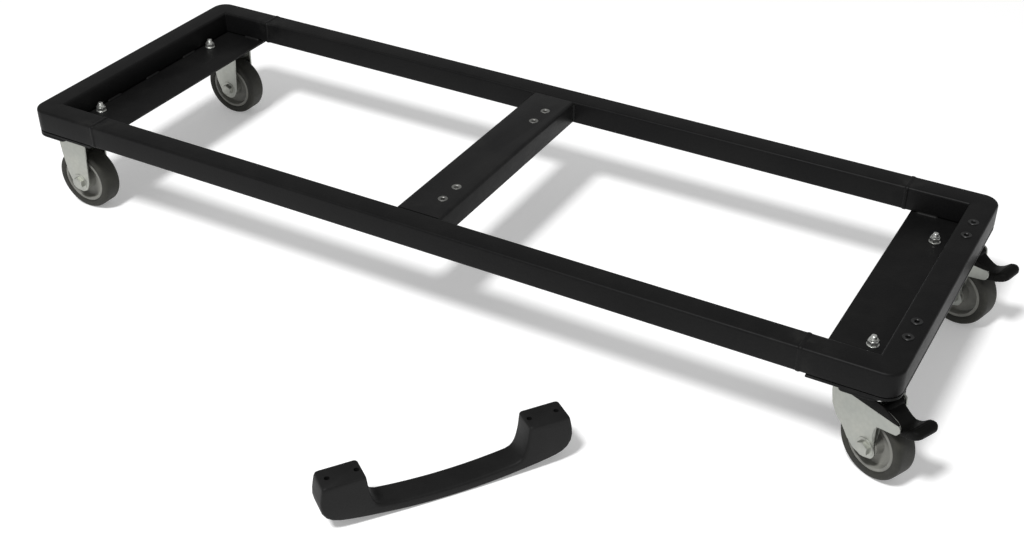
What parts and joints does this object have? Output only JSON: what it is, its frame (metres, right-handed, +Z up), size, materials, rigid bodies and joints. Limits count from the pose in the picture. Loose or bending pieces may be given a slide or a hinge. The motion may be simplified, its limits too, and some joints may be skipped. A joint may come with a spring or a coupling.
{
  "type": "furniture dolly",
  "caption": "Long rectangular steel tube dolly on swivel casters, with recessed end plates, a centre cross member, brakes at one end and a loose bow pull handle.",
  "frame": {"origin": "middle of the deck plane, on the top face of the cross member", "axes": "+X along the dolly's length, towards the two braked casters; +Y across it, away from the loose handle; +Z up"},
  "size_m": [1.09, 0.6589, 0.1368],
  "materials": {
    "black_powder_coat": "satin black powder coat",
    "black_oxide": "black oxide",
    "bright_zinc": "bright zinc plate",
    "dull_zinc": "dull zinc",
    "grey_wheel": "moulded grey",
    "dark_tread": "dull dark grey rubber",
    "black_pedal": "moulded black",
    "handle_plastic": "fine textured black"
  },
  "bodies": {
    "frame": {"front_rail": "black_powder_coat", "rear_rail": "black_powder_coat", "left_end_frame": "black_powder_coat", "right_end_frame": "black_powder_coat", "left_end_plate": "black_powder_coat", "right_end_plate": "black_powder_coat", "cross_member": "black_powder_coat", "rail_joint_welds": "black_powder_coat", "end_plate_welds": "black_powder_coat", "cross_member_welds": "black_powder_coat", "handle_rivet_nuts": "black_oxide", "cross_rivet_nuts": "dull_zinc", "caster_bolts": "bright_zinc", "caster_weld_nuts": "dull_zinc", "caster_lock_nuts": "bright_zinc", "caster_nut_washers": "bright_zinc", "front_left_top_plate": "black_oxide", "front_left_kingpin": "dull_zinc", "rear_left_top_plate": "black_oxide", "rear_left_kingpin": "dull_zinc", "front_right_top_plate": "black_oxide", "front_right_kingpin": "dull_zinc", "rear_right_top_plate": "black_oxide", "rear_right_kingpin": "dull_zinc"},
    "front_left_swivel": {"front_left_ball_ring": "bright_zinc", "front_left_fork": "bright_zinc", "front_left_axle_bolt": "bright_zinc", "front_left_axle_nut": "bright_zinc", "front_left_axle_bush": "dull_zinc"},
    "front_left_wheel": {"front_left_wheel_core": "grey_wheel", "front_left_tyre": "dark_tread"},
    "rear_left_swivel": {"rear_left_ball_ring": "bright_zinc", "rear_left_fork": "bright_zinc", "rear_left_axle_bolt": "bright_zinc", "rear_left_axle_nut": "bright_zinc", "rear_left_axle_bush": "dull_zinc"},
    "rear_left_wheel": {"rear_left_wheel_core": "grey_wheel", "rear_left_tyre": "dark_tread"},
    "front_right_swivel": {"front_right_ball_ring": "bright_zinc", "front_right_fork": "bright_zinc", "front_right_axle_bolt": "bright_zinc", "front_right_axle_nut": "bright_zinc", "front_right_axle_bush": "dull_zinc", "front_right_brake_pin": "bright_zinc", "front_right_brake_hood": "black_pedal"},
    "front_right_wheel": {"front_right_wheel_core": "grey_wheel", "front_right_tyre": "dark_tread"},
    "front_right_brake": {"front_right_brake_pedal": "black_pedal"},
    "rear_right_swivel": {"rear_right_ball_ring": "bright_zinc", "rear_right_fork": "bright_zinc", "rear_right_axle_bolt": "bright_zinc", "rear_right_axle_nut": "bright_zinc", "rear_right_axle_bush": "dull_zinc", "rear_right_brake_pin": "bright_zinc", "rear_right_brake_hood": "black_pedal"},
    "rear_right_wheel": {"rear_right_wheel_core": "grey_wheel", "rear_right_tyre": "dark_tread"},
    "rear_right_brake": {"rear_right_brake_pedal": "black_pedal"},
    "handle": {"pull_handle": "handle_plastic"}
  },
  "joints": [
    {"name": "front_left_swivel_turn", "type": "hinge", "parent": "frame", "child": "front_left_swivel", "pos_m": [-0.502, -0.142, -0.0395], "axis": [0, 0, 1], "continuous": true},
    {"name": "front_left_wheel_spin", "type": "hinge", "parent": "front_left_swivel", "child": "front_left_wheel", "pos_m": [-0.485, -0.142, -0.0985], "axis": [0, 1, 0], "continuous": true},
    {"name": "rear_left_swivel_turn", "type": "hinge", "parent": "frame", "child": "rear_left_swivel", "pos_m": [-0.502, 0.142, -0.0395], "axis": [0, 0, 1], "continuous": true},
    {"name": "rear_left_wheel_spin", "type": "hinge", "parent": "rear_left_swivel", "child": "rear_left_wheel", "pos_m": [-0.485, 0.142, -0.0985], "axis": [0, 1, 0], "continuous": true},
    {"name": "front_right_swivel_turn", "type": "hinge", "parent": "frame", "child": "front_right_swivel", "pos_m": [0.492, -0.142, -0.0395], "axis": [0, 0, 1], "continuous": true},
    {"name": "front_right_wheel_spin", "type": "hinge", "parent": "front_right_swivel", "child": "front_right_wheel", "pos_m": [0.50741, -0.14919, -0.0985], "axis": [0.4226, 0.9063, 0], "continuous": true},
    {"name": "front_right_brake_press", "type": "hinge", "parent": "front_right_swivel", "child": "front_right_brake", "pos_m": [0.51556, -0.15299, -0.051], "axis": [0.4226, 0.9063, 0], "range_deg": [0, 10]},
    {"name": "rear_right_swivel_turn", "type": "hinge", "parent": "frame", "child": "rear_right_swivel", "pos_m": [0.492, 0.142, -0.0395], "axis": [0, 0, 1], "continuous": true},
    {"name": "rear_right_wheel_spin", "type": "hinge", "parent": "rear_right_swivel", "child": "rear_right_wheel", "pos_m": [0.50834, 0.13731, -0.0985], "axis": [0.2756, 0.9613, 0], "continuous": true},
    {"name": "rear_right_brake_press", "type": "hinge", "parent": "rear_right_swivel", "child": "rear_right_brake", "pos_m": [0.51699, 0.13483, -0.051], "axis": [0.2756, 0.9613, 0], "range_deg": [0, 10]},
    {"name": "pull_handle_lift", "type": "slide", "parent": "frame", "child": "handle", "axis": [0, 0, 1], "range_m": [0, 0.3]}
  ]
}
